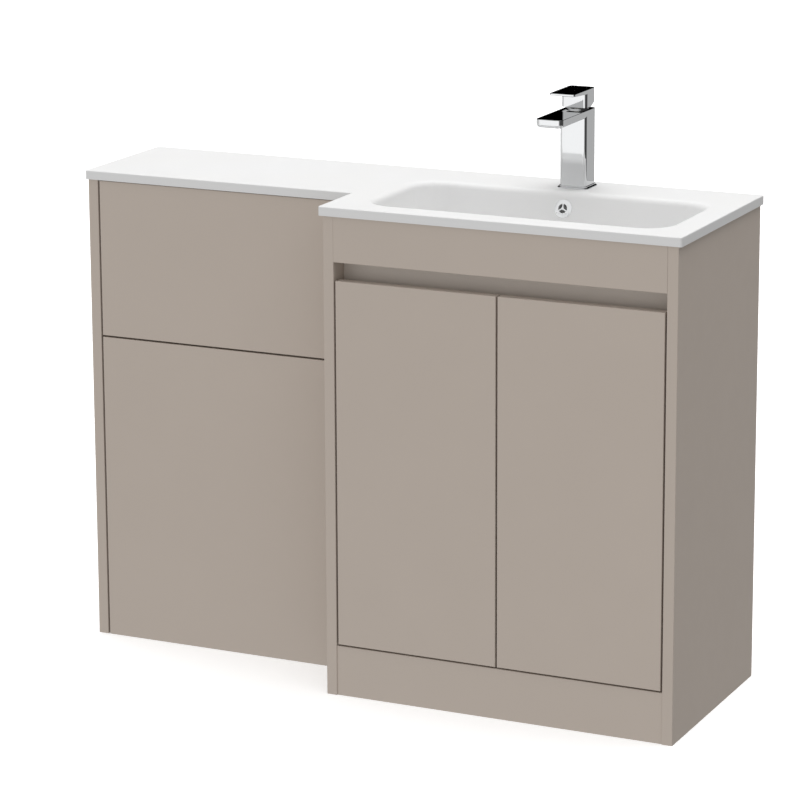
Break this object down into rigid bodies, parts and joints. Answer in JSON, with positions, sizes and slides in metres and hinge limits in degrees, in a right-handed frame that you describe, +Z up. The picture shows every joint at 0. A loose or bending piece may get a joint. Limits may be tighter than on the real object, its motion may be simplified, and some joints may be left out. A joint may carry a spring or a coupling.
{
  "type": "vanity unit",
  "caption": "Floor-standing bathroom vanity unit with inset doors, a one-piece basin top that runs on over a shallower WC housing, and a square single-lever tap.",
  "frame": {"origin": "middle of the whole footprint, on the floor", "axes": "+X along the unit to the right as seen from the front, +Y towards the wall, +Z up; the front faces -Y"},
  "size_m": [1.11, 0.373, 0.9717],
  "materials": {
    "front_board": "satin lacquer, warm greige",
    "carcass_board": "satin lacquer, warm greige",
    "mineral": "gloss white gel coat",
    "chrome": "polished",
    "steel": "nickel plated",
    "brass": "turned",
    "white_plastic": "moulded white",
    "painted_profile": "satin lacquer, warm greige",
    "black_rubber": "moulded",
    "clear_plastic": "translucent"
  },
  "bodies": {
    "unit": {"wc_lower_panel": "front_board", "vanity_fascia": "front_board", "vanity_plinth": "front_board", "wc_left_side": "carcass_board", "wc_right_side": "carcass_board", "wc_joint_rail": "carcass_board", "wc_top_rail": "carcass_board", "wc_foot_rail": "carcass_board", "wc_rear_top_rail": "carcass_board", "wc_rear_foot_rail": "carcass_board", "vanity_left_side": "carcass_board", "vanity_right_side": "carcass_board", "vanity_base": "carcass_board", "vanity_rear_top_rail": "carcass_board", "vanity_rear_foot_rail": "carcass_board", "shelf": "carcass_board", "handle_channel": "painted_profile", "basin_top": "mineral", "overflow_cover": "chrome", "waste_body": "chrome", "tap_body": "chrome", "tap_base_ring": "chrome", "cartridge_cover": "chrome", "lower_panel_screws": "steel", "shelf_pins": "steel", "hinge_arms": "steel", "hinge_plates": "steel", "cabinet_screws": "steel", "wall_brackets": "steel", "cabinet_connectors": "steel", "tap_clamp_plate": "steel", "tap_aerator": "steel", "waste_backnut": "brass", "cartridge_nut": "brass", "tap_stud": "brass", "tap_fixing_nut": "brass", "access_panel_sockets": "white_plastic", "plinth_blocks": "white_plastic", "trap_inlet_nut": "white_plastic", "trap_body": "white_plastic", "trap_cup": "white_plastic", "trap_outlet_nut": "white_plastic", "trap_outlet_pipe": "white_plastic", "tap_cartridge": "white_plastic", "waste_washer": "black_rubber", "tap_clamp_gasket": "black_rubber", "door_buffers": "clear_plastic"},
    "access_panel": {"wc_access_panel": "front_board", "access_panel_studs": "white_plastic"},
    "left_links": {"left_hinge_links": "steel"},
    "left_door_leaf": {"left_door": "front_board", "left_hinge_cups": "steel"},
    "right_links": {"right_hinge_links": "steel"},
    "right_door_leaf": {"right_door": "front_board", "right_hinge_cups": "steel"},
    "plug": {"waste_plug": "chrome"},
    "tap_rotor": {"lever_rotor": "white_plastic"},
    "lever": {"tap_lever": "chrome", "lever_stem": "brass", "lever_grub_screw": "steel"}
  },
  "joints": [
    {"name": "left_link_swing", "type": "hinge", "parent": "unit", "child": "left_links", "pos_m": [0, -0.16, 0.389], "axis": [0, 0, 1], "range_deg": [0, 20.36]},
    {"name": "left_door_swing", "type": "hinge", "parent": "left_links", "child": "left_door_leaf", "pos_m": [-0.018, -0.173, 0.389], "axis": [0, 0, -1], "range_deg": [0, 120.36]},
    {"name": "right_link_swing", "type": "hinge", "parent": "unit", "child": "right_links", "pos_m": [0.5, -0.16, 0.389], "axis": [0, 0, -1], "range_deg": [0, 20.36]},
    {"name": "right_door_swing", "type": "hinge", "parent": "right_links", "child": "right_door_leaf", "pos_m": [0.518, -0.173, 0.389], "axis": [0, 0, 1], "range_deg": [0, 120.36]},
    {"name": "access_panel_pull", "type": "slide", "parent": "unit", "child": "access_panel", "axis": [0, -1, 0], "range_m": [0, 0.12]},
    {"name": "waste_plug_press", "type": "slide", "parent": "unit", "child": "plug", "axis": [0, 0, 1], "range_m": [-0.007, 0]},
    {"name": "lever_turn", "type": "hinge", "parent": "unit", "child": "tap_rotor", "pos_m": [0.253, 0.1365, 0.925], "axis": [0, 0, 1], "range_deg": [-45, 45]},
    {"name": "lever_lift", "type": "hinge", "parent": "tap_rotor", "child": "lever", "pos_m": [0.253, 0.1365, 0.925], "axis": [-1, 0, 0], "range_deg": [0, 16]}
  ],
  "couplings": [
    {"joint": "left_link_swing", "follows": "left_door_swing", "ratio": 0.1691},
    {"joint": "right_link_swing", "follows": "right_door_swing", "ratio": 0.1691}
  ]
}
